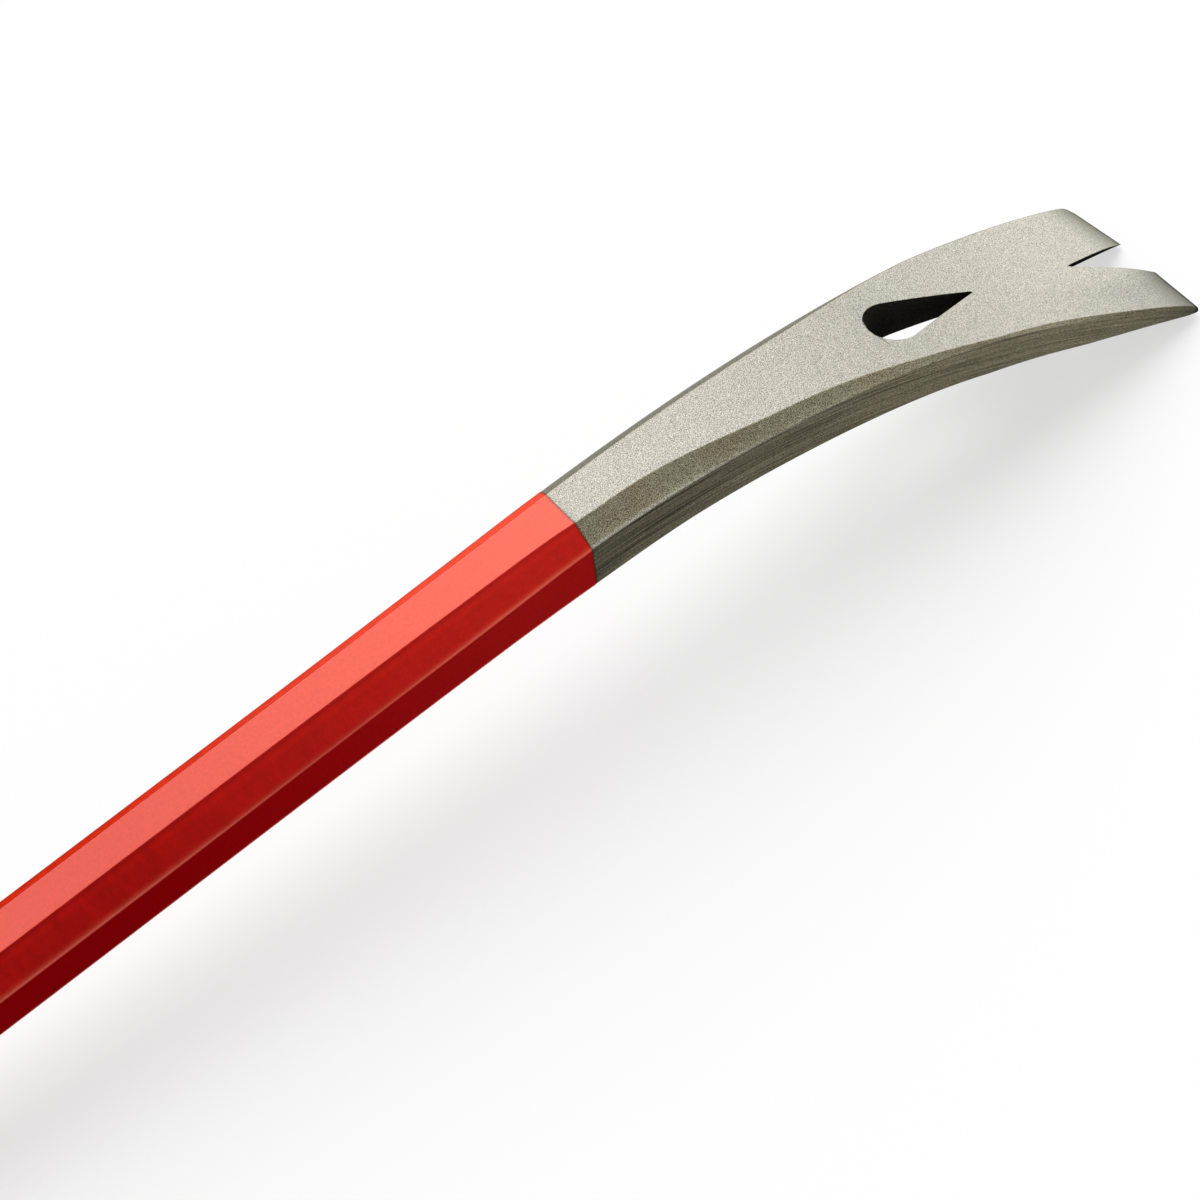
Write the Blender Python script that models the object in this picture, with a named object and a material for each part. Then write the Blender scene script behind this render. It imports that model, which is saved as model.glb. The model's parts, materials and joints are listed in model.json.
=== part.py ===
"""A crowbar forged in one piece from octagonal steel bar, with a red lacquer coat on its shank.

One end is a long, gently bent claw, flared and flattened, with a V notch and a teardrop nail hole.
The other end is a gooseneck that curls the other way and ends in a smaller claw.

Metres, +Z up. The bar stands as it rests on a floor: on the claw's cutting edge and on the heel of
the gooseneck. +X points along the shank to the claw, and the bar is the same on both sides of y = 0.

Each forged end is measured along its outer, convex face from where its bend starts. A place on it is
(s, y, depth): s along that face, y across the bar, and depth from that face into the steel.
"""

import math

import bmesh
import bpy
from mathutils import Matrix, Vector

# Bar
BAR_FLATS = 0.020
BAR_BEVEL = 0.0055
SHANK_LENGTH = 0.390

# Claw end, which the photograph shows
CLAW_LENGTH = 0.177
CLAW_RADIUS = 0.272
CLAW_WIDTH = 0.045
CLAW_FLARE = 0.11
CLAW_FLARE_START = 0.0
CLAW_BLADE = 0.0070
CLAW_TAPER_START = 0.0
CLAW_TAPER_LENGTH = 0.165
CLAW_GRIND_LENGTH = 0.035
CLAW_EDGE = 0.0019
CLAW_SWEEP = 0.0020
CLAW_BEVEL_START = -0.080
CLAW_BEVEL_END = 0.118
CLAW_NOTCH_WIDTH = 0.0116
CLAW_NOTCH_DEPTH = 0.0225

# Teardrop nail hole in the claw end
HOLE_RADIUS = 0.0064
HOLE_LENGTH = 0.0294
HOLE_SETBACK = 0.030
HOLE_RELIEF = 0.0040

# Gooseneck end
NECK_RADIUS = 0.044
NECK_TURN = math.radians(138)
NECK_BLADE_RADIUS = 0.115
NECK_BLADE_TURN = math.radians(33)
NECK_WIDTH = 0.036
NECK_FLARE = 0.10
NECK_FLARE_START = 0.060
NECK_BLADE = 0.0065
NECK_TAPER_START = 0.050
NECK_TAPER_LENGTH = 0.115
NECK_GRIND_LENGTH = 0.030
NECK_EDGE = 0.0019
NECK_SWEEP = 0.0015
NECK_BEVEL_START = 0.0
NECK_BEVEL_END = 0.120
NECK_NOTCH_WIDTH = 0.0110
NECK_NOTCH_DEPTH = 0.0260

# Both claws
EDGE_BEVEL = 0.0004
BEVEL_POWER = 2.4
GRIND_POWER = 1.6
COUNTERSINK = math.radians(38)
POINT_RADIUS = 0.0003

# Lacquer coat. A real coat is bonded to the steel; here it is a sleeve with a clearance to it.
COAT_THICKNESS = 0.0003
COAT_CLEARANCE = 0.0003
COAT_PROUD = 0.0001
COAT_ON_CLAW = 0.0128
COAT_TO_NECK = 0.025

# Mesh steps
STEP = 0.005
NECK_STEP = 0.0025
ARC_POINTS = 24
POINT_POINTS = 8
SIDE_POINTS = 4
OVERCUT = 0.003
CREASE_LIFT = 0.00005
SETTLE_STEPS = 12

HALF_FLATS = BAR_FLATS / 2
COAT_RECESS = COAT_THICKNESS + COAT_CLEARANCE - COAT_PROUD


def share(value, start, end):
    """How far value lies from start to end, held between 0 and 1."""
    return min(max((value - start) / (end - start), 0.0), 1.0)


def ease(u):
    return u * u * (3 - 2 * u)


def evenly(start, end, step=STEP):
    """Values from start to end with even gaps of about step."""
    count = max(1, math.ceil(abs(end - start) / step - 1e-9))
    return [start + (end - start) * k / count for k in range(count + 1)]


class ForgedEnd:
    """One bent, flared and flattened end of the bar."""

    def __init__(self, turned, **sizes):
        self.turned = turned
        self.arcs = sizes["arcs"]
        self.length = sizes["length"]
        self.width = sizes["width"]
        self.flare = sizes["flare"]
        self.flare_start = sizes["flare_start"]
        self.blade = sizes["blade"]
        self.taper = sizes["taper"]
        self.grind = sizes["grind"]
        self.edge = sizes["edge"]
        self.sweep = sizes["sweep"]
        self.bevel_run = sizes["bevel_run"]
        self.notch_width = sizes["notch_width"]
        self.notch_depth = sizes["notch_depth"]

    def path(self, s):
        """(forward, sideways, heading) of the outer face at s. The last arc carries on past the end."""
        forward, sideways, heading = min(s, 0.0), 0.0, 0.0
        left = max(s, 0.0)
        for number, (length, radius) in enumerate(self.arcs):
            run = left if number == len(self.arcs) - 1 else min(left, length)
            turned = heading + run / radius
            forward += radius * (math.sin(turned) - math.sin(heading))
            sideways += radius * (math.cos(heading) - math.cos(turned))
            heading = turned
            left -= run
        return forward, sideways, heading

    def half_width(self, s):
        u = share(s, self.flare_start, self.length)
        spread = (self.width / 2 - HALF_FLATS) * ease(u)
        return HALF_FLATS + spread + self.flare * (self.length - self.flare_start) * (u**3 - u**2)

    def unground(self, s):
        start, length = self.taper
        return BAR_FLATS - (BAR_FLATS - self.blade) * ease(share(s, start, start + length))

    def thickness(self, s):
        ground = share(s, self.length - self.grind, self.length) ** GRIND_POWER
        return self.unground(s) - (self.unground(self.length) - self.edge) * ground

    def bevel(self, s):
        run = share(s, *self.bevel_run) ** BEVEL_POWER
        leg = BAR_BEVEL - (BAR_BEVEL - EDGE_BEVEL) * run
        return min(leg, 0.45 * self.thickness(s))

    def place(self, s, y, depth):
        """The point (s, y, depth) in the bar's own frame, where the claw's bend starts at x = 0."""
        forward, sideways, heading = self.path(s)
        x = forward - depth * math.sin(heading)
        z = HALF_FLATS - sideways - depth * math.cos(heading)
        if self.turned:
            return Vector((-SHANK_LENGTH - x, y, -z))
        return Vector((x, y, z))

    def ring(self, s, grow=0.0, last=False):
        """The bar's section at s, moved out by grow. The last ring has its outer corners swept back."""
        half, thick = self.half_width(s) + grow, self.thickness(s)
        leg = self.bevel(s) + grow * (2 - math.sqrt(2))
        flat = half - leg
        inner = flat * self.notch_width / (self.width - 2 * EDGE_BEVEL)
        top, low = -grow, thick + grow
        quarter = [(flat, top), (inner, top), (-inner, top), (-flat, top), (-half, top + leg)]
        rest = [(-half, low - leg), (-flat, low), (-inner, low), (inner, low), (flat, low)]
        points = quarter + rest + [(half, low - leg), (half, top + leg)]
        if self.turned:
            points = [(y, thick - depth) for y, depth in points]
        swept = s - self.sweep if last else s
        return [self.place(s if abs(y) == inner else swept, y, depth) for y, depth in points]


CLAW = ForgedEnd(
    turned=False,
    arcs=[(CLAW_LENGTH, CLAW_RADIUS)],
    length=CLAW_LENGTH,
    width=CLAW_WIDTH,
    flare=CLAW_FLARE,
    flare_start=CLAW_FLARE_START,
    blade=CLAW_BLADE,
    taper=(CLAW_TAPER_START, CLAW_TAPER_LENGTH),
    grind=CLAW_GRIND_LENGTH,
    edge=CLAW_EDGE,
    sweep=CLAW_SWEEP,
    bevel_run=(CLAW_BEVEL_START, CLAW_BEVEL_END),
    notch_width=CLAW_NOTCH_WIDTH,
    notch_depth=CLAW_NOTCH_DEPTH,
)

NECK_BEND = NECK_RADIUS * NECK_TURN
NECK_LENGTH = NECK_BEND + NECK_BLADE_RADIUS * NECK_BLADE_TURN
NECK = ForgedEnd(
    turned=True,
    arcs=[(NECK_BEND, NECK_RADIUS), (NECK_LENGTH - NECK_BEND, NECK_BLADE_RADIUS)],
    length=NECK_LENGTH,
    width=NECK_WIDTH,
    flare=NECK_FLARE,
    flare_start=NECK_FLARE_START,
    blade=NECK_BLADE,
    taper=(NECK_TAPER_START, NECK_TAPER_LENGTH),
    grind=NECK_GRIND_LENGTH,
    edge=NECK_EDGE,
    sweep=NECK_SWEEP,
    bevel_run=(NECK_BEVEL_START, NECK_BEVEL_END),
    notch_width=NECK_NOTCH_WIDTH,
    notch_depth=NECK_NOTCH_DEPTH,
)


def clear_scene():
    for thing in list(bpy.data.objects):
        bpy.data.objects.remove(thing, do_unlink=True)


def make_material(name, colour, roughness, metallic, coat=0.0):
    material = bpy.data.materials.new(name)
    material.use_nodes = True
    shader = material.node_tree.nodes["Principled BSDF"]
    shader.inputs["Base Color"].default_value = (*colour, 1.0)
    shader.inputs["Roughness"].default_value = roughness
    shader.inputs["Metallic"].default_value = metallic
    shader.inputs["Coat Weight"].default_value = coat
    return material


def make_object(name, mesh, parent, material=None):
    """Puts the bmesh in the scene as an object, shaded smooth between its sharp edges."""
    bmesh.ops.recalc_face_normals(mesh, faces=mesh.faces)
    data = bpy.data.meshes.new(name)
    mesh.to_mesh(data)
    mesh.free()
    data.shade_smooth()
    data.set_sharp_from_angle(angle=math.radians(25))
    if material:
        data.materials.append(material)
    thing = bpy.data.objects.new(name, data)
    bpy.context.scene.collection.objects.link(thing)
    thing.parent = parent
    return thing


def add_rings(mesh, rings):
    """Adds each ring's vertices and the faces between one ring and the next."""
    rows = [[mesh.verts.new(point) for point in ring] for ring in rings]
    for row, following in zip(rows, rows[1:]):
        for k in range(len(row)):
            n = (k + 1) % len(row)
            mesh.faces.new((row[k], row[n], following[n], following[k]))
    return rows


def close_claw(mesh, row):
    """Closes the bar's end with a face for each tine and one between them, where the notch is cut."""
    for corners in ((0, 1, 8, 9, 10, 11), (1, 2, 7, 8), (2, 3, 4, 5, 6, 7)):
        mesh.faces.new([row[k] for k in corners])


def close_fan(mesh, row, centre):
    hub = mesh.verts.new(centre)
    for k in range(len(row)):
        mesh.faces.new((row[k], row[(k + 1) % len(row)], hub))


def coated_stations():
    """Stations of the coat on the claw end, from where its bevels start to run out to its edge."""
    return evenly(CLAW_BEVEL_START, 0.0) + evenly(0.0, COAT_ON_CLAW)[1:]


def make_bar(parent):
    """The steel: one loft from the gooseneck's edge to the claw's edge, slimmer under the coat."""
    neck_shoulder = -COAT_TO_NECK + COAT_CLEARANCE
    claw_shoulder = COAT_ON_CLAW + COAT_CLEARANCE
    neck_stations = evenly(NECK_LENGTH - STEP, 0.0, NECK_STEP) + [neck_shoulder]
    claw_stations = evenly(claw_shoulder, CLAW_LENGTH - STEP)
    rings = [NECK.ring(NECK_LENGTH, last=True)]
    rings += [NECK.ring(s) for s in neck_stations]
    rings += [NECK.ring(neck_shoulder, -COAT_RECESS)]
    rings += [CLAW.ring(s, -COAT_RECESS) for s in coated_stations()]
    rings += [CLAW.ring(claw_shoulder, -COAT_RECESS)]
    rings += [CLAW.ring(s) for s in claw_stations]
    rings += [CLAW.ring(CLAW_LENGTH, last=True)]
    mesh = bmesh.new()
    rows = add_rings(mesh, rings)
    close_claw(mesh, rows[0])
    close_claw(mesh, rows[-1])
    steel = make_material("blasted_steel", (0.56, 0.54, 0.50), 0.5, 0.85)
    return make_object("forged_bar", mesh, parent, steel)


def make_coat(parent):
    """The lacquer on the shank: a thin octagonal sleeve, open at both ends."""
    inner_grow = COAT_PROUD - COAT_THICKNESS
    outer = [NECK.ring(-COAT_TO_NECK, COAT_PROUD)]
    outer += [CLAW.ring(s, COAT_PROUD) for s in coated_stations()]
    inner = [NECK.ring(-COAT_TO_NECK, inner_grow)]
    inner += [CLAW.ring(s, inner_grow) for s in coated_stations()]
    mesh = bmesh.new()
    rows = add_rings(mesh, outer + inner[::-1])
    first, last = rows[0], rows[-1]
    for k in range(len(first)):
        n = (k + 1) % len(first)
        mesh.faces.new((first[k], first[n], last[n], last[k]))
    lacquer = make_material("red_lacquer", (0.62, 0.012, 0.010), 0.22, 0.0, coat=0.6)
    return make_object("lacquer_coat", mesh, parent, lacquer)


def make_cutter(name, end, outline, parent):
    """A cutter through the blade. Each outline point is (s, y, lower s, lower y), on the two faces."""
    top = [end.place(s, y, -OVERCUT) for s, y, _, _ in outline]
    crease = [end.place(s, y, -CREASE_LIFT) for s, y, _, _ in outline]
    low = [end.place(s, y, end.thickness(s)) for _, _, s, y in outline]
    below = []
    for upper, lower in zip(crease, low):
        ruling = lower - upper
        below.append(lower + ruling * (OVERCUT / ruling.length))
    mesh = bmesh.new()
    rows = add_rings(mesh, [top, crease, below])
    for row, points in ((rows[0], top), (rows[-1], below)):
        close_fan(mesh, row, sum(points, Vector()) / len(points))
    cutter = make_object(name, mesh, parent)
    cutter.hide_render = True
    cutter.display_type = "WIRE"
    return cutter


def notch_outline(end):
    """The V notch, countersunk to the inner face, where a nail's head sits."""
    apex = end.length - end.notch_depth
    spread = math.atan2(end.notch_width / 2, end.notch_depth)
    mouth = end.notch_depth + OVERCUT
    outline = []

    def add(along, direction):
        """A point along the notch's side from the apex, with its wall facing in direction."""
        side = 1 if math.sin(direction) >= 0 else -1
        s = apex + along * math.cos(spread) + POINT_RADIUS * math.cos(direction)
        y = side * along * math.sin(spread) + POINT_RADIUS * math.sin(direction)
        sink = end.thickness(s) * math.tan(COUNTERSINK)
        outline.append((s, y, s + sink * math.cos(direction), y + sink * math.sin(direction)))

    upper, lower = math.pi / 2 + spread, 1.5 * math.pi - spread
    for k in range(SIDE_POINTS, 0, -1):
        add(mouth * k / SIDE_POINTS, upper)
    for k in range(POINT_POINTS + 1):
        add(0.0, upper + (lower - upper) * k / POINT_POINTS)
    for k in range(1, SIDE_POINTS + 1):
        add(mouth * k / SIDE_POINTS, lower)
    return outline


def hole_outline():
    """The teardrop, punched square to the shank, with its point relieved on the inner face."""
    point = CLAW_LENGTH - CLAW_NOTCH_DEPTH - HOLE_SETBACK - POINT_RADIUS
    reach = HOLE_LENGTH - HOLE_RADIUS - POINT_RADIUS
    centre = point - reach
    tangent = math.acos((HOLE_RADIUS - POINT_RADIUS) / reach)
    heading = CLAW.path(centre)[2]
    lean = CLAW.thickness(centre) * math.tan(heading)
    outline = []

    def add(middle, radius, direction):
        s = middle + radius * math.cos(direction)
        y = radius * math.sin(direction)
        relief = HOLE_RELIEF * share(s, centre, point)
        low_s = s + lean + relief * math.cos(direction)
        outline.append((s, y, low_s, y + relief * math.sin(direction)))

    for k in range(POINT_POINTS + 1):
        add(point, POINT_RADIUS, tangent * (2 * k / POINT_POINTS - 1))
    for k in range(ARC_POINTS + 1):
        add(centre, HOLE_RADIUS, tangent + (2 * math.pi - 2 * tangent) * k / ARC_POINTS)
    return outline


def cut(bar, cutter):
    modifier = bar.modifiers.new(cutter.name, "BOOLEAN")
    modifier.operation = "DIFFERENCE"
    modifier.solver = "EXACT"
    modifier.object = cutter


def finished_points(things):
    """The vertices of the finished shapes, cuts included, in the bar's own frame."""
    bpy.context.view_layer.update()
    graph = bpy.context.evaluated_depsgraph_get()
    return [vertex.co.copy() for thing in things for vertex in thing.evaluated_get(graph).data.vertices]


def rest_pose(points):
    """The pose that stands the bar on its heel and its cutting edge, centred over the origin."""
    heel_side = [p for p in points if p.x < -SHANK_LENGTH / 2]
    edge_side = [p for p in points if p.x >= -SHANK_LENGTH / 2]
    slope = 0.0
    for _ in range(SETTLE_STEPS):
        turn = Matrix.Rotation(slope, 4, "Y")
        heel = min((turn @ p for p in heel_side), key=lambda p: p.z)
        edge = min((turn @ p for p in edge_side), key=lambda p: p.z)
        slope += math.atan2(edge.z - heel.z, edge.x - heel.x)
    turned = [Matrix.Rotation(slope, 4, "Y") @ p for p in points]
    middle = (min(p.x for p in turned) + max(p.x for p in turned)) / 2
    floor = min(p.z for p in turned)
    return Matrix.Translation((-middle, 0.0, -floor)) @ Matrix.Rotation(slope, 4, "Y")


def main():
    clear_scene()
    stance = bpy.data.objects.new("rest_stance", None)
    bpy.context.scene.collection.objects.link(stance)
    bar = make_bar(stance)
    coat = make_coat(stance)
    cut(bar, make_cutter("claw_notch_cutter", CLAW, notch_outline(CLAW), stance))
    cut(bar, make_cutter("nail_hole_cutter", CLAW, hole_outline(), stance))
    cut(bar, make_cutter("neck_notch_cutter", NECK, notch_outline(NECK), stance))
    stance.matrix_world = rest_pose(finished_points([bar, coat]))


main()
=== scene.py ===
"""A forged crowbar with a red lacquered shank, modelled and lit as it lies on a pale studio floor.

Each half of the steel is drawn out straight, from the middle of the shank to its claw, then rounded
along its edges, then bent. On a straight half the middle of the shank is at x = 0, the outer face at
z = 0. Metres, +Z up.
"""

import json
import math
from collections import namedtuple
from types import SimpleNamespace

import bmesh
import bpy
from bpy.props import FloatProperty, FloatVectorProperty, PointerProperty
from mathutils import Matrix, Quaternion, Vector


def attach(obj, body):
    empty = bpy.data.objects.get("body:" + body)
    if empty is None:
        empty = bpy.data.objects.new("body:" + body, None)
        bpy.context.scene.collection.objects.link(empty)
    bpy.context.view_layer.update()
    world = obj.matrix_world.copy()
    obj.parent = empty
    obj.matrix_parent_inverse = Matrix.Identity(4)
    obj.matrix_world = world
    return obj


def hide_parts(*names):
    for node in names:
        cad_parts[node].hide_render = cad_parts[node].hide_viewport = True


bl_info = {
    "name": "Forged Crowbar",
    "version": (1, 0, 0),
    "blender": (4, 5, 0),
    "location": "3D View > Sidebar > Crowbar",
    "description": "Builds a forged crowbar with a lacquered shank on a studio floor",
    "category": "Object",
}

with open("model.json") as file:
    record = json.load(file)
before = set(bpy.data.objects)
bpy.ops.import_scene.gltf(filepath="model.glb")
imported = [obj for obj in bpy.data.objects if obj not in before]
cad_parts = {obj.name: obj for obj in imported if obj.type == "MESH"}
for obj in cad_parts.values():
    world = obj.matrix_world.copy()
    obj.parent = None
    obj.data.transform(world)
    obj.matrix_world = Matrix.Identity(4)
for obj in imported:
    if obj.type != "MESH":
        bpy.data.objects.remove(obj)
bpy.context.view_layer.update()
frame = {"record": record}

BODY = "root"


def length(name, default, description):
    return FloatProperty(name=name, default=default, description=description, unit="LENGTH", precision=5)


def angle(name, degrees, description):
    turn = math.radians(degrees)
    return FloatProperty(name=name, default=turn, description=description, unit="ROTATION")


def number(name, default, description):
    return FloatProperty(name=name, default=default, description=description)


def colour(name, default, description):
    return FloatVectorProperty(
        name=name, default=default, description=description, subtype="COLOR", min=0.0, max=1.0
    )


def place(name, default, description):
    return FloatVectorProperty(
        name=name, default=default, description=description, subtype="XYZ", unit="LENGTH"
    )


class CROWBAR_PG_bar(bpy.types.PropertyGroup):
    flats: length("Across flats", 0.020, "Width of the octagonal bar between opposite facets")
    leg: length("Bevel leg", 0.0055, "How much the four bevels take off each side of the square")
    shank: length("Shank length", 0.390, "Straight length between the two bends")
    edge_leg: length("Leg at the claws", 0.0004, "What is left of the bevels on both claws")
    side_round: length("Side rounding", 0.0013, "Radius between the bevels and the sides")
    face_round: length("Face rounding", 0.00055, "Radius between the bevels and the outer face")
    rim_round: length("Rim rounding", 0.00014, "Radius around the nail hole and the notches")
    ripple: length("Ripple", 0.0005, "How far the hammered edge of the outer face wanders")
    shoulder: length("Shoulder", 0.0007, "How far that edge is set in where the grind begins")
    far_set: length("Far set", 0.0005, "How far the outer face's edge towards +Y is set in")
    side_lift: length("Side lift", 0.0003, "How far the hammered edge of the side is lifted")
    belly: length("Belly", 0.0005, "How far the lower edge of that side sags")
    countersink: angle("Countersink", 33, "How far a notch widens towards the inner face")
    point: length("Point radius", 0.0003, "Radius in the point of each notch and of the hole")


class CROWBAR_PG_claw(bpy.types.PropertyGroup):
    length: length("Length", 0.177, "From the start of the bend to the cutting edge")
    radius: length("Bend radius", 0.272, "Radius of the outer face")
    width: length("Width", 0.045, "Across the cutting edge")
    flare: number("Flare", 0.11, "How steeply the sides still spread at the cutting edge")
    flare_start: length("Flare start", 0.0, "Where the sides start to spread")
    blade: length("Blade", 0.0070, "Thickness before the grind")
    taper_start: length("Taper start", 0.0, "Where the bar starts to thin")
    taper: length("Taper length", 0.165, "Over which the bar thins to the blade")
    grind: length("Grind length", 0.035, "Over which the blade is ground to its edge")
    edge: length("Edge", 0.0019, "Thickness at the cutting edge")
    sweep: length("Sweep", 0.0020, "How far the outer corners stand back")
    corner: length("Corner", 0.0022, "How far the outer corners are rounded inwards")
    corner_run: length("Corner run", 0.0036, "How far back from the cutting edge that rounding starts")
    roll: length("Roll-off", 0.0006, "How far the outer face drops at the edge")
    roll_length: length("Roll-off length", 0.0100, "Over which the outer face drops")
    bevel_start: length("Bevel start", -0.080, "Where the bevels start to run out")
    bevel_end: length("Bevel end", 0.118, "Where the bevels have run out")
    notch_width: length("Notch width", 0.0116, "Across the notch's mouth")
    notch_depth: length("Notch depth", 0.0225, "From the edge to the notch's point")
    notch_skew: length("Notch skew", 0.0007, "How far the notch's mouth lies off the middle")
    near_corner: number("Near corner", 0.95, "How much less the corner towards -Y is rounded")
    far_corner: length("Far corner", 0.0006, "How far the corner towards +Y stands forward of the other")
    cant: number("Cant", 0.016, "How far the cutting edge is off square, for each unit across it")
    mouth_cant: number("Mouth cant", 0.070, "How far the notch's mouth is off square the other way")
    twist: length("Twist", 0.0003, "How far the corner towards -Y is lifted")


class CROWBAR_PG_hole(bpy.types.PropertyGroup):
    radius: length("Radius", 0.0064, "Of the round end of the teardrop")
    length: length("Length", 0.0294, "Of the teardrop")
    setback: length("Setback", 0.030, "From the notch's point back to the teardrop's point")
    relief: length("Relief", 0.0040, "How much wider the point is on the inner face")


class CROWBAR_PG_neck(bpy.types.PropertyGroup):
    radius: length("Bend radius", 0.044, "Radius of the outer face in the tight bend")
    turn: angle("Turn", 138, "Of the tight bend")
    blade_radius: length("Blade radius", 0.115, "Radius of the outer face of the blade")
    blade_turn: angle("Blade turn", 33, "Of the blade")
    width: length("Width", 0.036, "Across the cutting edge")
    flare: number("Flare", 0.10, "How steeply the sides still spread at the cutting edge")
    flare_start: length("Flare start", 0.060, "Where the sides start to spread")
    blade: length("Blade", 0.0065, "Thickness before the grind")
    taper_start: length("Taper start", 0.050, "Where the bar starts to thin")
    taper: length("Taper length", 0.115, "Over which the bar thins to the blade")
    grind: length("Grind length", 0.030, "Over which the blade is ground to its edge")
    edge: length("Edge", 0.0019, "Thickness at the cutting edge")
    sweep: length("Sweep", 0.0015, "How far the outer corners stand back")
    corner: length("Corner", 0.0012, "How far the outer corners are rounded inwards")
    corner_run: length("Corner run", 0.0024, "How far back from the cutting edge that rounding starts")
    roll: length("Roll-off", 0.0005, "How far the outer face drops at the edge")
    roll_length: length("Roll-off length", 0.0090, "Over which the outer face drops")
    bevel_start: length("Bevel start", 0.0, "Where the bevels start to run out")
    bevel_end: length("Bevel end", 0.120, "Where the bevels have run out")
    notch_width: length("Notch width", 0.0110, "Across the notch's mouth")
    notch_depth: length("Notch depth", 0.0260, "From the edge to the notch's point")


class CROWBAR_PG_coat(bpy.types.PropertyGroup):
    proud: length("Proud", 0.0001, "How far the lacquer stands out of the steel")
    film: length("Film", 0.00008, "Thickness of the lacquer")
    on_claw: length("On the claw", 0.0126, "How far the lacquer reaches into the claw's bend")
    to_neck: length("To the neck", 0.0247, "From the gooseneck's bend to the lacquer")
    slant: number("Slant", 0.14, "How much the lacquer's end leans back down the sides")
    far_reach: length("Far reach", 0.0011, "How much further the lacquer reaches on the side towards +Y")
    edge_round: length("Edge rounding", 0.0018, "Radius of the lacquer between bevels and sides")
    face_round: length("Face rounding", 0.0005, "Radius of the lacquer around the outer face")
    # The lacquer is one paint: its colours by facing are painted light and shade, paler on the outer face,
    # darker on the bevels, darker still on the sides, and painted shade on the bevels towards +Y
    colour: colour("Colour", (0.85, 0.051, 0.016), "Of the lacquer on the outer and inner face")
    bevel_colour: colour("Bevel colour", (0.73, 0.0040, 0.001), "Of the lacquer on the bevels")
    side_colour: colour("Side colour", (0.65, 0.001, 0.005), "Of the lacquer on the sides")
    back_shade_colour: colour("Back colour", (0.58, 0.022, 0.007), "Of the lacquer on the bevels towards +Y")
    # Painted highlight along the lacquer's rounded side edges
    edge_highlight_colour: colour("Edge colour", (1.0, 0.130, 0.070), "Of the lacquer on the rounded side edges")
    # Painted pale light on the film towards both of its ends
    painted_pale_light_colour: colour("Haze colour", (1.0, 0.85, 0.55), "Of the haze in the film towards both of its ends")
    roughness: number("Roughness", 0.50, "Of the colour layer")
    gloss: number("Gloss", 0.58, "How much of the clear layer there is")
    bevel_gloss: number("Bevel gloss", 0.35, "How much of it there is on the bevels")
    edge_gloss: number("Edge gloss", 0.65, "How much of it there is on the rounded side edges")
    side_gloss: number("Side gloss", 0.0, "How much of it there is on the sides")
    gloss_roughness: number("Gloss roughness", 0.18, "Of the clear layer")


class CROWBAR_PG_steel(bpy.types.PropertyGroup):
    colour: colour("Colour", (0.44, 0.423, 0.370), "Of the blasted outer and inner face")
    # The bevels' and sides' colours are their forged and sheared finish, darkened further with painted shade
    bevel_colour: colour("Bevel colour", (0.372, 0.354, 0.246), "Of the forged bevels")
    heat_colour: colour("Heat colour", (0.362, 0.312, 0.210), "Of the warm patches on the bevels")
    side_colour: colour("Side colour", (0.262, 0.240, 0.162), "Of the sheared sides")
    # Painted shade on the bevels towards +Y
    back_shade_colour: colour("Back colour", (0.165, 0.160, 0.125), "Of the bevels towards +Y")
    # Painted highlight along the steel's rounded side edges
    edge_highlight_colour: colour("Edge colour", (0.78, 0.765, 0.660), "Of the edges that are rubbed bright")
    # Of the ground cutting edges: partly their ground finish, partly painted shade of the rolled-off face
    tip_colour: colour("Tip colour", (0.110, 0.110, 0.080), "Of the ground cutting edges")
    # Painted shade inside the nail hole and the notches
    wall_shade_colour: colour("Wall colour", (0.045, 0.043, 0.035), "Inside the nail hole and the notches")
    metallic: number("Metallic", 0.40, "How metallic the blasted steel looks")
    roughness: number("Roughness", 0.65, "Of the blasted steel")


class CROWBAR_PG_stage(bpy.types.PropertyGroup):
    camera_place: place("Camera", (-0.03974, -0.43243, 0.60250), "Where the camera stands")
    camera_aim: place("Aim", (0.14320, -0.01323, 0.03002), "What the camera looks at")
    camera_roll: angle("Roll", 16.334, "How far the camera leans")
    lens: FloatProperty(name="Lens", default=105.45, description="Focal length", unit="CAMERA")
    floor: colour("Floor", (0.36, 0.36, 0.36), "Of the floor as it is seen")
    floor_glow: colour("Floor glow", (0.60, 0.60, 0.60), "What the floor shows of its own light")
    floor_bounce: colour("Floor bounce", (0.22, 0.22, 0.22), "Of the floor as it lights the bar")
    floor_size: length("Floor size", 40.0, "Side of the floor")
    key_height: angle("Key height", 48.5, "Of the soft key light over the floor")
    key_heading: angle("Key heading", 20, "Of the key light, from +Y towards +X")
    key_spread: angle("Key spread", 60, "How wide the key light looks from the bar")
    key_strength: number("Key strength", 2.6, "Of the key light")
    glow_height: angle("Glow height", 18, "Of the glow beside the key light")
    glow_heading: angle("Glow heading", 54, "Of the glow, from +Y towards +X")
    glow: number("Glow", 1.5, "How much the glow adds to the sky")
    horizon: number("Horizon", 0.8, "How bright the sky is near the floor")
    ceiling: number("Ceiling", 0.28, "How bright the sky is overhead")


# Sections along one half of the bar

# The points of a ring: at the edges of the sides, at the edges of the outer and inner face, beside the
# middle of the outer face, and beside the middle of the inner one
SIDE, FLAT, TOP, LOW = 0, 1, 2, 3
RING_POINTS = 12
# How far the points beside the middle stay off it, so that an opening can be cut between them
CENTRE_LINE = 0.00015
# How suddenly the grind thins the blade and the bevels run out, and how thick a bevel can be
GRIND_POWER, BEVEL_POWER, BEVEL_SHARE = 1.6, 2.4, 0.3
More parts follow.
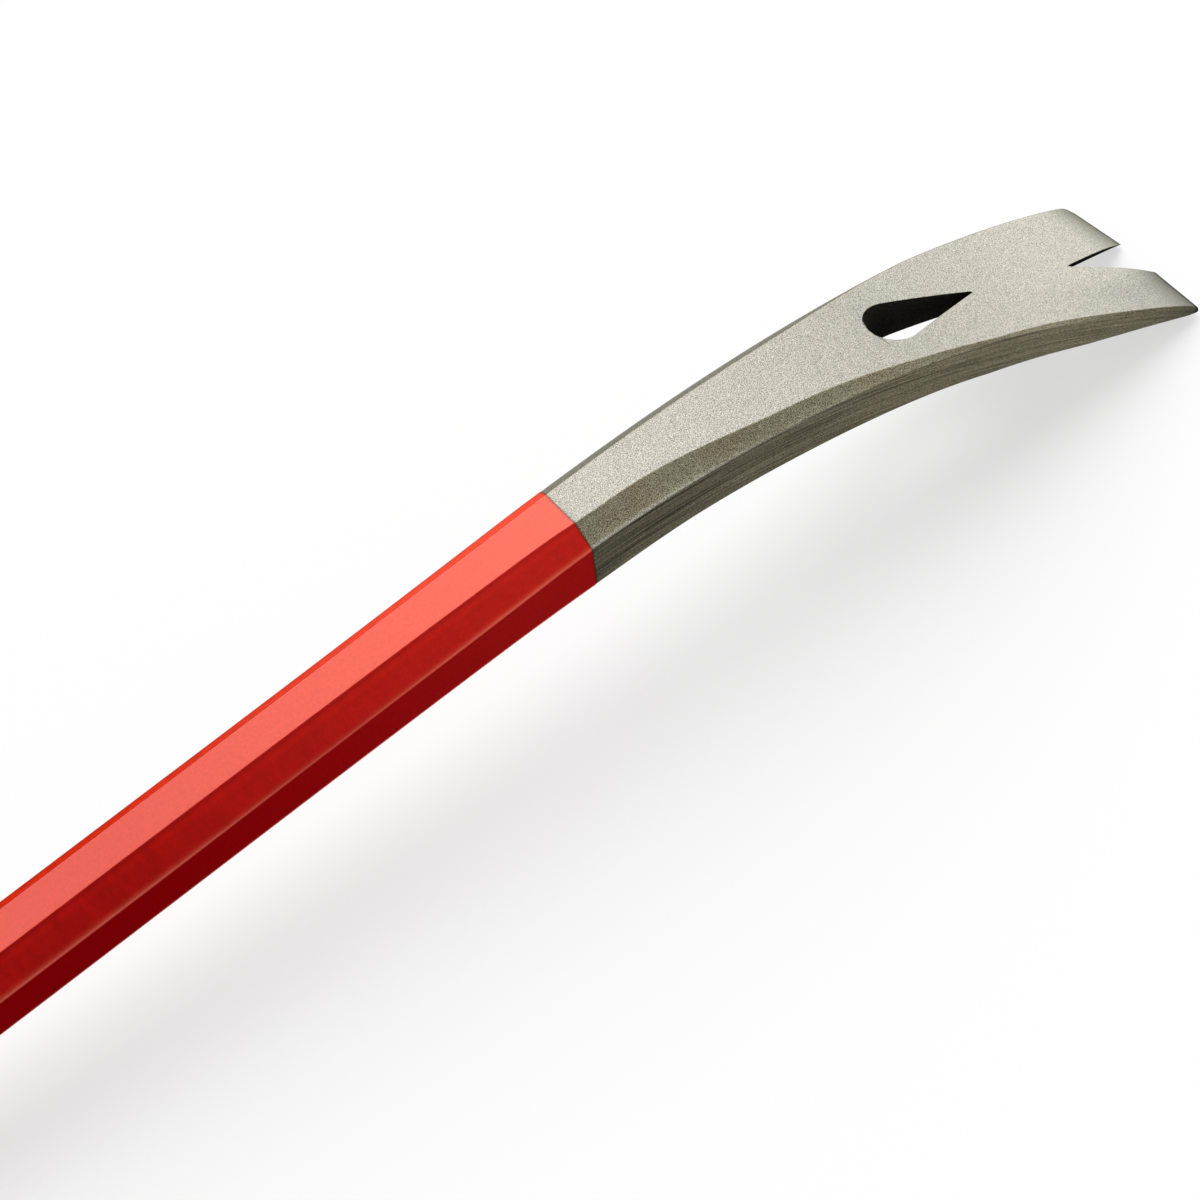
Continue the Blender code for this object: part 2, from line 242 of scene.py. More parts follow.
# How closely the rings and the points around the openings follow each other
PLAIN_UNTIL = -0.080
PLAIN_STEP, BEND_STEP, CLAW_STEP, COAT_STEP, NOTCH_STEP = 0.010, 0.005, 0.003, 0.004, 0.0013
ARC_STEPS, SIDE_STEPS, POINT_STEPS = 12, 6, 6
OPENING_MARGIN = 0.0015
# How far from an opening the plain rings lean with it, and how far from the cutting edge it is dulled
LEAN_RUN, DULL_RUN = 0.011, 0.012

# Where the hammer blows are: a stretch is given by where it starts, is full, starts to end and has
# ended, and a hump by its height, its middle and how far it runs to either side
BLOWS = (0.008, 0.024, 0.062, 0.098)
RIPPLE_START, RIPPLE_STEP = 0.019, 0.0086
SHOULDER_BACK, SHOULDER_RUN = 0.043, 0.024
FAR_STRETCH = (-0.175, -0.135, 0.080, 0.104)
FAR_STEPS = ((-0.020, 0.0), (0.045, 0.070))
SIDE_LIFTS = ((1.0, -0.055, 0.055), (1.0, 0.090, 0.022))
SIDE_SAGS = ((0.8, 0.014, 0.028), (1.0, 0.074, 0.042))
TWIST_RUN = 0.045

# A ring's station s, and the (s, y) of the points beside its middle on the outer and inner face
Ring = namedtuple("Ring", "s top low")


def share(value, start, end):
    """How far value lies from start to end, held between 0 and 1."""
    return min(max((value - start) / (end - start), 0.0), 1.0)


def ease(u):
    return u * u * (3 - 2 * u)


def stretch(value, start, full, leaving, gone):
    """1 between full and leaving, and 0 before start and after gone."""
    return share(value, start, full) * (1 - share(value, leaving, gone))


def hump(value, middle, run):
    """1 at the middle, easing down to 0 at run to either side."""
    return ease(1 - min(abs(value - middle) / run, 1.0))


def humps(value, several):
    return sum(height * hump(value, middle, run) for height, middle, run in several)


def steps(start, end, step):
    """Values after start up to end, evenly spaced by about step."""
    count = max(1, round((end - start) / step))
    return [start + (end - start) * k / count for k in range(1, count + 1)]


class Half:
    """The sections of one half of the bar, at s along its outer face from the start of its bend."""

    def __init__(self, bar, end, arcs, coat, paint_end):
        self.bar, self.end, self.arcs = bar, end, arcs
        self.coat, self.paint_end = coat, paint_end
        self.length = sum(radius * turn for radius, turn in arcs)
        self.shank = bar.shank / 2
        self.apex = self.length - end.notch_depth

    def flaw(self, name):
        """How far the claw strays in one way. The gooseneck's end has none of these flaws."""
        return getattr(self.end, name, 0.0)

    def into_corner(self, s):
        """How far s lies from the start of the outer corners' rounding to the cutting edge."""
        return share(s, self.length - self.end.corner_run, self.length)

    def rounded_off(self, s):
        """How far an outer corner is rounded inwards at s."""
        return self.end.corner * (1 - math.sqrt(1 - self.into_corner(s) ** 2))

    def half_width(self, s):
        end, start = self.end, self.end.flare_start
        flats = self.bar.flats / 2
        u = share(s, start, self.length)
        flare = end.flare * (self.length - start) * (u**3 - u**2)
        return flats + (end.width / 2 - flats) * ease(u) + flare - self.rounded_off(s)

    def unground(self, s):
        end = self.end
        thinned = ease(share(s, end.taper_start, end.taper_start + end.taper))
        return self.bar.flats - (self.bar.flats - end.blade) * thinned

    def thickness(self, s):
        end = self.end
        ground = share(s, self.length - end.grind, self.length) ** GRIND_POWER
        return self.unground(s) - (self.unground(self.length) - end.edge) * ground

    def drop(self, s):
        """How far the outer face has rolled off at s."""
        end = self.end
        return end.roll * share(s, self.length - end.roll_length, self.length) ** 2

    def leg(self, s):
        end, bar = self.end, self.bar
        run_out = share(s, end.bevel_start, end.bevel_end) ** BEVEL_POWER
        room = BEVEL_SHARE * (self.thickness(s) - self.drop(s))
        return min(bar.leg - (bar.leg - bar.edge_leg) * run_out, room)

    def spread(self, y):
        """How far y lies from the notch's mouth to the outer corner."""
        return share(abs(y), self.end.notch_width / 2, self.end.width / 2)

    def cutting_edge(self, y):
        """Where the cutting edge lies at y."""
        spread = self.spread(y)
        square = self.length - self.end.sweep * spread - self.flaw("cant") * y
        forward = self.flaw("far_corner") * spread if y > 0 else 0.0
        return square + (self.flaw("mouth_cant") * y * (1 - spread) + forward)

    def paint_reach(self, point):
        """How far the lacquer's end lies past its place on the outer face, at a point around the bar."""
        flats, leg = self.bar.flats / 2, self.bar.leg
        below = min(point.z + leg, 0.0)
        return self.coat.slant * below + self.coat.far_reach * share(point.y, flats - leg, flats)

    def struck(self, kind, outer, y, s):
        """How far a point at y is hammered forwards, aside and up at s."""
        bar, end, near = self.bar, self.end, y < 0
        tip = ease(share(s, self.length - TWIST_RUN, self.length))
        forward, aside = -self.flaw("cant") * y * tip, 0.0
        up = self.flaw("twist") * share(-y, -end.width / 2, end.width / 2) * tip
        if kind in (TOP, LOW):
            aside = -self.flaw("notch_skew") * share(s, self.apex, self.length)
            return forward + self.flaw("mouth_cant") * y * tip, aside, up
        if kind == FLAT and outer and near:
            aside = bar.ripple * stretch(s, *BLOWS) * math.sin((s - RIPPLE_START) / RIPPLE_STEP)
            aside += bar.shoulder * hump(s, self.length - SHOULDER_BACK, SHOULDER_RUN)
        elif kind == FLAT and outer:
            set_in = sum((share(s, *step) for step in FAR_STEPS), 1)
            aside = -bar.far_set / 2 * stretch(s, *FAR_STRETCH) * set_in
        elif kind == SIDE and outer and near:
            up += bar.side_lift * humps(s, SIDE_LIFTS)
        elif kind == SIDE and near:
            up -= bar.belly * humps(s, SIDE_SAGS)
        if near:
            aside -= self.flaw("near_corner") * self.rounded_off(s)
        else:
            forward += self.flaw("far_corner") * self.into_corner(s)
        return forward, aside, up

    def shank_stations(self):
        return [-self.shank] + steps(-self.shank, PLAIN_UNTIL, PLAIN_STEP)

    def plain_rings(self, stations, behind=None, ahead=None):
        """Rings closed over the middle. Their middle points lean as the openings' rings beside them do."""
        rings = []
        for s in stations:
            top_s = low_s = s
            for ring in filter(None, (behind, ahead)):
                near = (1 - share(abs(s - ring.s), 0.0, LEAN_RUN)) ** 2
                top_s += (ring.top[0] - ring.s) * near
                low_s += (ring.low[0] - ring.s) * near
            rings.append(Ring(s, (top_s, CENTRE_LINE), (low_s, CENTRE_LINE)))
        return rings

    def notch_outline(self):
        """(s, y, inner s, inner y) along one side of the notch, from its point to its mouth."""
        spread = math.atan2(self.end.notch_width / 2, self.end.notch_depth)
        outline = []

        def add(along, direction):
            s = self.apex + along * math.cos(spread) + self.bar.point * math.cos(direction)
            y = along * math.sin(spread) + self.bar.point * math.sin(direction)
            sink = self.thickness(s) * math.tan(self.bar.countersink)
            outline.append((s, y, s + sink * math.cos(direction), y + sink * math.sin(direction)))

        turn = math.pi / 2 + spread
        for k in range(POINT_STEPS + 1):
            add(0.0, math.pi + (turn - math.pi) * k / POINT_STEPS)
        for s in steps(self.apex, self.length, NOTCH_STEP):
            add((s - self.apex + self.bar.point * math.sin(spread)) / math.cos(spread), turn)
        return outline

    def hole_outline(self, hole):
        """(s, y, inner s, inner y) along one side of the teardrop, from its round end to its point."""
        point = self.apex - hole.setback - self.bar.point
        reach = hole.length - hole.radius - self.bar.point
        centre = point - reach
        tangent = math.acos((hole.radius - self.bar.point) / reach)
        heading = centre / self.arcs[0][0]
        lean = self.thickness(centre) * math.tan(heading)
        outline = []

        def add(middle, radius, direction):
            s, y = middle + radius * math.cos(direction), radius * math.sin(direction)
            relief = hole.relief * share(s, centre, point)
            low_s = s + lean + relief * math.cos(direction)
            outline.append((s, y, low_s, y + relief * math.sin(direction)))

        for k in range(ARC_STEPS + 1):
            add(centre, hole.radius, math.pi + (tangent - math.pi) * k / ARC_STEPS)
        for k in range(1, SIDE_STEPS):
            along = k / SIDE_STEPS
            add(centre + reach * along, hole.radius + (self.bar.point - hole.radius) * along, tangent)
        for k in range(POINT_STEPS + 1):
            add(point, self.bar.point, tangent * (1 - k / POINT_STEPS))
        return outline


def claw_side():
    scene = bpy.context.scene
    claw, coat = scene.crowbar_claw, scene.crowbar_coat
    return Half(scene.crowbar_bar, claw, [(claw.radius, claw.length / claw.radius)], coat, coat.on_claw)


def neck_side():
    scene = bpy.context.scene
    neck, coat = scene.crowbar_neck, scene.crowbar_coat
    arcs = [(neck.radius, neck.turn), (neck.blade_radius, neck.blade_turn)]
    return Half(scene.crowbar_bar, neck, arcs, coat, -coat.to_neck)


def opening_rings(outline, end=None):
    """A ring for each point of an opening's outline, at even stations."""
    start = (outline[0][0] + outline[0][2]) / 2
    end = end or (outline[-1][0] + outline[-1][2]) / 2
    stations = [start] + steps(start, end, (end - start) / (len(outline) - 1))
    rings = []
    for station, (s, y, low_s, low_y) in zip(stations, outline):
        rings.append(Ring(station, (s, max(y, CENTRE_LINE)), (low_s, max(low_y, CENTRE_LINE))))
    return rings


# Modelling

# How far apart two places can be and still count as one, before shaping and when welding
HAIR, WELD = 0.0005, 0.000002
# How much of a bevel, and of the way to the middle, a rounding can take
ROUNDING_ROOM, RIM_ROOM = 0.35, 0.2
# How much sharper the side edges get along the claw, and from where to where
SHARPENED, SHARPENED_FROM, SHARPENED_TO = 0.6, 0.020, 0.100
LARGEST_PIECE, SMOOTH_UP_TO = math.radians(20), math.radians(40)


def select_only(*things):
    bpy.ops.object.select_all(action="DESELECT")
    for thing in things:
        thing.select_set(True)
    bpy.context.view_layer.objects.active = things[0]


def edit(thing):
    """Enters edit mode, where points are selected."""
    select_only(thing)
    bpy.ops.object.mode_set(mode="EDIT")
    bpy.ops.mesh.select_mode(type="VERT")


def leave():
    bpy.ops.object.mode_set(mode="OBJECT")


def pick(thing, kind, wanted):
    """Selects the edges or faces of the mesh in edit mode that are wanted."""
    bpy.ops.mesh.select_mode(type=kind)
    bpy.ops.mesh.select_all(action="DESELECT")
    mesh = bmesh.from_edit_mesh(thing.data)
    for element in mesh.edges if kind == "EDGE" else mesh.faces:
        if wanted(element):
            element.select_set(True)
    mesh.select_flush_mode()
    bmesh.update_edit_mesh(thing.data)


def pick_points(thing, indices):
    bpy.ops.mesh.select_all(action="DESELECT")
    mesh = bmesh.from_edit_mesh(thing.data)
    mesh.verts.ensure_lookup_table()
    for index in indices:
        mesh.verts[index].select_set(True)


def shift_points(thing, moves):
    """Moves single points of the mesh. The moves are kept under the points' numbers."""
    edit(thing)
    for index, move in moves.items():
        pick_points(thing, [index])
        bpy.ops.transform.translate(value=move)
    leave()


def apply_modifier(thing, name, kind, **settings):
    select_only(thing)
    modifier = thing.modifiers.new(name, kind)
    for key, value in settings.items():
        setattr(modifier, key, value)
    bpy.ops.object.modifier_apply(modifier=name)


def draw_out(name, half, rings):
    """A straight octagonal tube with one ring of points at each station."""
    flats, middle = half.bar.flats, -half.bar.flats / 2
    bpy.ops.object.select_all(action="DESELECT")
    bpy.ops.mesh.primitive_plane_add(
        size=flats, location=(half.shank + rings[0].s, 0, middle), rotation=(0, math.pi / 2, 0)
    )
    thing = bpy.context.object
    thing.name = name
    bpy.ops.object.transform_apply()
    edit(thing)
    bpy.ops.mesh.select_all(action="SELECT")
    bpy.ops.mesh.bevel(offset=half.bar.leg, affect="VERTICES")
    bpy.ops.mesh.delete(type="ONLY_FACE")

    def on_flat(point):
        return abs(abs(point.co.z - middle) - flats / 2) < HAIR

    pick(thing, "EDGE", lambda edge: all(on_flat(point) for point in edge.verts))
    bpy.ops.mesh.subdivide(number_cuts=2)
    bpy.ops.mesh.select_mode(type="VERT")
    bpy.ops.mesh.select_all(action="SELECT")
    for ring, following in zip(rings, rings[1:]):
        bpy.ops.mesh.extrude_region_move(TRANSFORM_OT_translate={"value": (following.s - ring.s, 0, 0)})
    leave()
    label_points(thing.data, half.bar)
    return thing


def label_points(data, bar):
    """Notes each point's role and its ring's number, while the tube is still plain."""
    for label in ("role", "ring"):
        data.attributes.new(label, "INT", "POINT")
    data.attributes.new("wall", "FLOAT", "FACE")
    roles, numbers = (data.attributes[label].data for label in ("role", "ring"))
    flats, leg = bar.flats / 2, bar.leg
    for order, v in enumerate(sorted(data.vertices, key=lambda v: v.co.x)):
        numbers[v.index].value = order // RING_POINTS
        if abs(v.co.y) < (flats - leg) / 2:
            roles[v.index].value = TOP if v.co.z > -flats else LOW
        else:
            roles[v.index].value = SIDE if abs(v.co.y) > flats - HAIR else FLAT


def labels_of(thing):
    """The (role, ring's number) of each point."""
    roles, numbers = (thing.data.attributes[label].data for label in ("role", "ring"))
    return [(role.value, number.value) for role, number in zip(roles, numbers)]


def shape_sections(thing, half, rings, grow=0.0):
    """Forges each ring to its width, thickness and bevels, and its middle points to the openings."""
    flats, leg = half.bar.flats, half.bar.leg
    beside = (flats / 2 - leg) / 3
    plain = {
        SIDE: (flats / 2, -leg, leg - flats),
        FLAT: (flats / 2 - leg, 0.0, -flats),
        TOP: (beside, 0.0, 0.0),
        LOW: (beside, -flats, -flats),
    }
    members = {}
    for index, label in enumerate(labels_of(thing)):
        members.setdefault(label, []).append(index)
    edit(thing)
    for number, (s, top, low) in enumerate(rings):
        width, cut = half.half_width(s) + grow, half.leg(s) + grow * (2 - math.sqrt(2))
        upper, lower = grow - half.drop(s), -half.thickness(s) - grow
        top_z, low_z = grow - half.drop(top[0]), -half.thickness(low[0]) - grow
        shaped = {
            SIDE: (width, upper - cut, lower + cut, s),
            FLAT: (width - cut, upper, lower, s),
            TOP: (top[1], top_z, top_z, top[0]),
            LOW: (low[1], low_z, low_z, low[0]),
        }
        for kind, (y, high, deep, along) in shaped.items():
            y_0, high_0, deep_0 = plain[kind]
            tall = (high - deep) / (high_0 - deep_0) if high_0 > deep_0 else 1.0
            middle_0, middle = (high_0 + deep_0) / 2, (high + deep) / 2
            along -= half.end.sweep * half.spread(y) * half.into_corner(s)
            pick_points(thing, members[kind, number])
            bpy.ops.transform.resize(
                value=(1.0, y / y_0, tall), center_override=(half.shank + s, 0.0, middle_0)
            )
            bpy.ops.transform.translate(value=(along - s, 0.0, middle - middle_0))
    leave()


def hammer(thing, half, rings):
    """Moves the long edges where they are struck, and the notch's mouth off the middle."""
    moves = {}
    for v, (kind, number) in zip(thing.data.vertices, labels_of(thing)):
        s = rings[number].s
        move = half.struck(kind, v.co.z > -half.thickness(s) / 2, v.co.y, s)
        if any(move):
            moves[v.index] = move
    shift_points(thing, moves)


def lean_end(thing, half, last):
    """Leans the lacquer's open end, which is its last ring."""
    moves = {}
    for v, (_, number) in zip(thing.data.vertices, labels_of(thing)):
        if number == last:
            moves[v.index] = (half.paint_reach(v.co), 0.0, 0.0)
    shift_points(thing, moves)


def cut_gap(thing, first, last):
    """Opens the strip between the middle points of both faces, from ring to ring, and walls it."""
    labels = labels_of(thing)

    def in_gap(element):
        kinds, numbers = zip(*(labels[v.index] for v in element.verts))
        return set(kinds) in ({TOP}, {LOW}) and all(first <= number <= last for number in numbers)

    edit(thing)
    pick(thing, "FACE", in_gap)
    bpy.ops.mesh.delete(type="FACE")
    pick(thing, "EDGE", lambda edge: edge.is_boundary and in_gap(edge))
    bpy.ops.mesh.bridge_edge_loops()
    mesh = bmesh.from_edit_mesh(thing.data)
    wall = mesh.faces.layers.float["wall"]
    for face in mesh.faces:
        if face.select:
            face[wall] = 1.0
    bmesh.update_edit_mesh(thing.data)
    leave()


def cap_tines(thing, last):
    """Closes the end of each tine with one face."""
    for side in (-1, 1):
        tine = {
            v.index
            for v, (_, number) in zip(thing.data.vertices, labels_of(thing))
            if number == last and v.co.y * side > 0
        }
        edit(thing)
        pick(thing, "EDGE", lambda edge: edge.is_boundary and all(v.index in tine for v in edge.verts))
        bpy.ops.mesh.edge_face_add()
        leave()


def weigh_edges(thing, half, rings, gaps, side_round, face_round):
    """Sets how much each edge is rounded, as a share of the widest rounding. Returns that width."""
    data, labels = thing.data, labels_of(thing)
    bend = math.tan(math.radians(22.5))
    widest = max(side_round, face_round) * bend
    rim = half.bar.rim_round
    weights = data.attributes.new("bevel_weight_edge", "FLOAT", "EDGE")
    for edge, weight in zip(data.edges, weights.data):
        kinds, numbers = (set(pair) for pair in zip(*(labels[v] for v in edge.vertices)))
        along = len(numbers) == 2
        s = rings[min(numbers)].s
        room = ROUNDING_ROOM * math.sqrt(2) * half.leg(s)
        offset = 0.0
        if along and kinds == {SIDE}:
            blunt = 1 - SHARPENED * share(s, SHARPENED_FROM, SHARPENED_TO)
            offset = min(side_round * bend * blunt, room)
        elif along and kinds == {FLAT}:
            offset = min(face_round * bend, room)
        elif kinds in ({TOP}, {LOW}):
            for first, last in gaps:
                inside = all(first <= number <= last for number in numbers)
                if inside and (along or numbers <= {first, last}):
                    offset = min(rim, RIM_ROOM * min(abs(data.vertices[v].co.y) for v in edge.vertices))
        if gaps and numbers == {len(rings) - 1}:
            offset = rim
        weight.value = offset / widest
    return widest


def keep_flat_place(thing, half):
    """Notes each point's place on the straight bar, past the paint, down the bevel and in the grind."""
    data = thing.data
    data.attributes.new("along", "FLOAT_VECTOR", "POINT")
    for name in ("past_paint", "down", "ground"):
        data.attributes.new(name, "FLOAT", "POINT")
    for v in data.vertices:
        s, edge = v.co.x - half.shank, half.cutting_edge(v.co.y)
        data.attributes["along"].data[v.index].vector = v.co
        places = {
            "past_paint": s - half.paint_reach(v.co) - half.paint_end,
            "down": share(min(-v.co.z, v.co.z + half.thickness(s)), 0.0, half.leg(s)),
            "ground": share(s, edge - DULL_RUN, edge),
        }
        for name, value in places.items():
            data.attributes[name].data[v.index].value = value


def bend_along(thing, half):
    """Bends the straight half along its arcs."""
    third = half.shank / 3
    knots = [(Vector(), 0.0, third, third)]
    at, heading, arriving = Vector((half.shank, 0, 0)), 0.0, third
    for radius, turn in half.arcs:
        pieces = max(2, math.ceil(turn / LARGEST_PIECE))
        step = turn / pieces
        leaving = 4 / 3 * math.tan(step / 4) * radius
        for _ in range(pieces):
            knots.append((at, heading, arriving, leaving))
            centre = at - radius * Vector((math.sin(heading), 0, math.cos(heading)))
            heading += step
            at = centre + radius * Vector((math.sin(heading), 0, math.cos(heading)))
            arriving = leaving
    knots.append((at, heading, arriving, arriving))
    curve = bpy.data.curves.new("bend_path", "CURVE")
    curve.dimensions = "3D"
    curve.resolution_u = 64
    points = curve.splines.new("BEZIER").bezier_points
    points.add(len(knots) - 1)
    for point, (at, heading, arriving, leaving) in zip(points, knots):
        forward = Vector((math.cos(heading), 0, -math.sin(heading)))
        point.co = at
        point.handle_left = at - arriving * forward
        point.handle_right = at + leaving * forward
    path = bpy.data.objects.new("bend_path", curve)
    bpy.context.scene.collection.objects.link(path)
    apply_modifier(thing, "Bend", "CURVE", object=path, deform_axis="POS_X")
    bpy.data.objects.remove(path)
    bpy.data.curves.remove(curve)


def round_and_bend(thing, half, rings, gaps, side_round, face_round, segments):
    """Rounds the straight half's edges, notes where its points lie, and bends it."""
    widest = weigh_edges(thing, half, rings, gaps, side_round, face_round)
    apply_modifier(
        thing, "Rounding", "BEVEL", width=widest, limit_method="WEIGHT", segments=segments,
        use_clamp_overlap=False, loop_slide=False,
    )
    keep_flat_place(thing, half)
    bend_along(thing, half)
    return thing


def forge_half(name, half, hole=None):
    """One half of the steel, drawn out straight, with its openings cut, then rounded and bent."""
    openings = [opening_rings(half.hole_outline(hole))] if hole else []
    openings.append(opening_rings(half.notch_outline(), half.length))
    rings = half.plain_rings(half.shank_stations() + steps(PLAIN_UNTIL, 0.0, BEND_STEP))
    gaps = []
    behind, reached = None, 0.0
    for opening in openings:
        between = steps(reached, opening[0].s - OPENING_MARGIN, CLAW_STEP)
        rings += half.plain_rings(between, behind, opening[0])
        gaps.append((len(rings), len(rings) + len(opening) - 1))
        rings += opening
        behind, reached = opening[-1], opening[-1].s
    thing = draw_out(name, half, rings)
    shape_sections(thing, half, rings)
    hammer(thing, half, rings)
    for first, last in gaps:
        cut_gap(thing, first, last)
    cap_tines(thing, len(rings) - 1)
    return round_and_bend(
        thing, half, rings, gaps, half.bar.side_round, half.bar.face_round, segments=3
    )


def coat_half(name, half):
    """One half of the lacquer, drawn out straight over the steel, then rounded and bent with it."""
    coat = half.coat
    rings = half.plain_rings(half.shank_stations() + steps(PLAIN_UNTIL, half.paint_end, COAT_STEP))
    thing = draw_out(name, half, rings)
    shape_sections(thing, half, rings, grow=coat.proud)
    hammer(thing, half, rings)
    lean_end(thing, half, len(rings) - 1)
    return round_and_bend(thing, half, rings, [], coat.edge_round, coat.face_round, segments=5)


def stance(bar, coat):
    """How the bar stands in the row frame, from the face that the record gives on top of its shank."""
    top = next(mount for mount in frame["record"]["mounts"] if mount["name"] == "shank_top")
    up = Vector(top["axis"]).normalized()
    across = Vector((0, 1, 0))
    centre = Vector(top["pos_m"]) - up * (bar.flats / 2 + coat.proud)
    turn = Matrix((across.cross(up), across, up)).transposed().to_4x4()
    return Matrix.Translation(centre) @ turn


def join_halves(name, claw_half, neck_half):
    """Turns the neck's half over, joins both at the middle of the shank and stands the bar at rest."""
    scene = bpy.context.scene
    lift = Matrix.Translation((0, 0, scene.crowbar_bar.flats / 2))
    neck_half.matrix_world = Matrix.Rotation(math.pi, 4, "Y") @ lift
    claw_half.matrix_world = lift
    select_only(claw_half, neck_half)
    bpy.ops.object.join()
    bpy.ops.object.transform_apply()
    claw_half.matrix_world = stance(scene.crowbar_bar, scene.crowbar_coat)
    bpy.ops.object.transform_apply()
    claw_half.name = name
    claw_half.data.name = name
    edit(claw_half)
    bpy.ops.mesh.select_all(action="SELECT")
    bpy.ops.mesh.remove_doubles(threshold=WELD)
    bpy.ops.mesh.normals_make_consistent(inside=False)
    leave()
    return claw_half


def finish_mesh(thing):
    """Flat facets stay flat, and the rounded edges between them are shaded smooth."""
    select_only(thing)
    bpy.ops.object.shade_smooth_by_angle(angle=SMOOTH_UP_TO)
    apply_modifier(thing, "Facets", "WEIGHTED_NORMAL", keep_sharp=True, weight=100)


# Materials

# Grains to the metre
BLASTED, DRAWN, PATCHES = 5500.0, 3100.0, 75.0
CLOUDS, PEEL, WAVES = 360.0, 1500.0, 130.0
# How the grain is turned, because it would be weak on a face that lies along its own planes
OFF_SQUARE = (0.6, 0.8, 0.4)
# How patterns on the straight bar are drawn out along it
STREAKED, CLOUDED = (0.011, 0.0, 1.0), (1.0, 0.4, 0.4)


def new_node(tree, kind, values=None, **settings):
    """Adds a node. A value is either a number for the named input or a socket to link to it."""
    node = tree.nodes.new(kind)
    for key, value in settings.items():
        setattr(node, key, value)
    for key, value in (values or {}).items():
        if isinstance(value, bpy.types.NodeSocket):
            tree.links.new(value, node.inputs[key])
        else:
            node.inputs[key].default_value = value
    return node


def maths(operation, *values):
    """Reckons with sockets and numbers, in the tree of the sockets."""
    tree = next(value.id_data for value in values if isinstance(value, bpy.types.NodeSocket))
    return new_node(tree, "ShaderNodeMath", dict(enumerate(values)), operation=operation).outputs[0]


def times(*factors):
    product = factors[0]
    for factor in factors[1:]:
        product = maths("MULTIPLY", product, factor)
    return product


def ramp(value, start, end, low=0.0, high=1.0, **settings):
    """Goes from low to high while the value goes from start to end."""
    limits = {"Value": value, "From Min": start, "From Max": end, "To Min": low, "To Max": high}
    return new_node(value.id_data, "ShaderNodeMapRange", limits, **settings).outputs[0]


def fade(mask, low, high):
    """Low where the mask is 0, and high where it is 1."""
    return ramp(mask, 0.0, 1.0, low, high)


def blend(mask, first, second):
    """The colour between two colours, each a property or a socket."""
    values = {0: mask}
    for index, tint in ((6, first), (7, second)):
        values[index] = tint if isinstance(tint, bpy.types.NodeSocket) else (*tint, 1.0)
    return new_node(mask.id_data, "ShaderNodeMix", values, data_type="RGBA").outputs[2]


def overlaid(tone, *layers):
    """The tone with colours laid over it in turn, each where its mask is."""
    for mask, tint in layers:
        tone = blend(mask, tone, tint)
    return tone


def attribute(tree, name, output="Fac"):
    return new_node(tree, "ShaderNodeAttribute", attribute_name=name).outputs[output]


def axis_of(vector, axis):
    return new_node(vector.id_data, "ShaderNodeSeparateXYZ", {0: vector}).outputs[axis]


def mapped(vector, **values):
    return new_node(vector.id_data, "ShaderNodeMapping", {"Vector": vector, **values}).outputs[0]


def bump(height, strength, distance, **under):
    """The normal over a rough surface, which can lie over another normal."""
    values = {"Height": height, "Strength": strength, "Distance": distance, **under}
    return new_node(height.id_data, "ShaderNodeBump", values).outputs[0]


def new_group(name, inputs, outputs):
    """An empty shader node group. An input with no default is a vector, and all else are numbers."""
    tree = bpy.data.node_groups.new(name, "ShaderNodeTree")
    for label, default in inputs.items():
        kind = "NodeSocketVector" if default is None else "NodeSocketFloat"
        socket = tree.interface.new_socket(name=label, in_out="INPUT", socket_type=kind)
        if default is not None:
            socket.default_value = default
    for label in outputs:
        tree.interface.new_socket(name=label, in_out="OUTPUT", socket_type="NodeSocketFloat")
    return tree, tree.nodes.new("NodeGroupInput").outputs, tree.nodes.new("NodeGroupOutput").inputs


def grain_group():
    """Fine grain: a shade around 1 and a height, at a stated number of grains to the metre."""
    inputs = {"Vector": None, "Scale": 2500.0, "Contrast": 0.3}
    tree, given, out = new_group("Grain", inputs, ("Shade", "Height"))
    values = {"Scale": given["Scale"], "Detail": 2.0, "Roughness": 0.6}
    values["Vector"] = mapped(given["Vector"], Rotation=OFF_SQUARE)
    noise = new_node(tree, "ShaderNodeTexNoise", values).outputs["Fac"]
    swing = times(maths("SUBTRACT", noise, 0.5), given["Contrast"])
    tree.links.new(maths("MULTIPLY_ADD", swing, 4.0, 1.0), out["Shade"])
    tree.links.new(noise, out["Height"])
    return tree


def facing_group():
    """Which way a face looks: bevel, side, the rounding between both, and the bevels towards +Y."""
    tree, _, out = new_group("Facing", {}, ("Bevel", "Side", "Edge", "Back"))
    across = axis_of(new_node(tree, "ShaderNodeTexCoord").outputs["Normal"], "Y")
    aside = maths("ABSOLUTE", across)
    tree.links.new(ramp(aside, 0.08, 0.35), out["Bevel"])
    tree.links.new(ramp(aside, 0.82, 0.96), out["Side"])
    tree.links.new(times(ramp(aside, 0.75, 0.86), ramp(aside, 0.94, 0.995, 1.0, 0.0)), out["Edge"])
    tree.links.new(ramp(across, 0.30, 0.60), out["Back"])
    return tree


def placed(tree, name, make, values=None):
    """The outputs of a node group, which is made when it is first asked for."""
    group = bpy.data.node_groups.get(name) or make()
    return new_node(tree, "ShaderNodeGroup", values, node_tree=group).outputs


def grained(vector, scale, contrast=0.0):
    """The grain over these places. It needs a contrast only where its shade is used."""
    values = {"Vector": vector, "Scale": scale, "Contrast": contrast}
    return placed(vector.id_data, "Grain", grain_group, values)


def surface(tree, *names):
    """Which way the surface looks, and its place on the straight bar in the named ways."""
    facing = placed(tree, "Facing", facing_group)
    on = SimpleNamespace(**{name: attribute(tree, name) for name in names})
    on.bevel, on.side, on.edge, on.back = (facing[kind] for kind in ("Bevel", "Side", "Edge", "Back"))
    on.flank = maths("SUBTRACT", on.bevel, on.side)
    on.along = attribute(tree, "along", "Vector")
    on.place = new_node(tree, "ShaderNodeTexCoord").outputs["Object"]
    return on


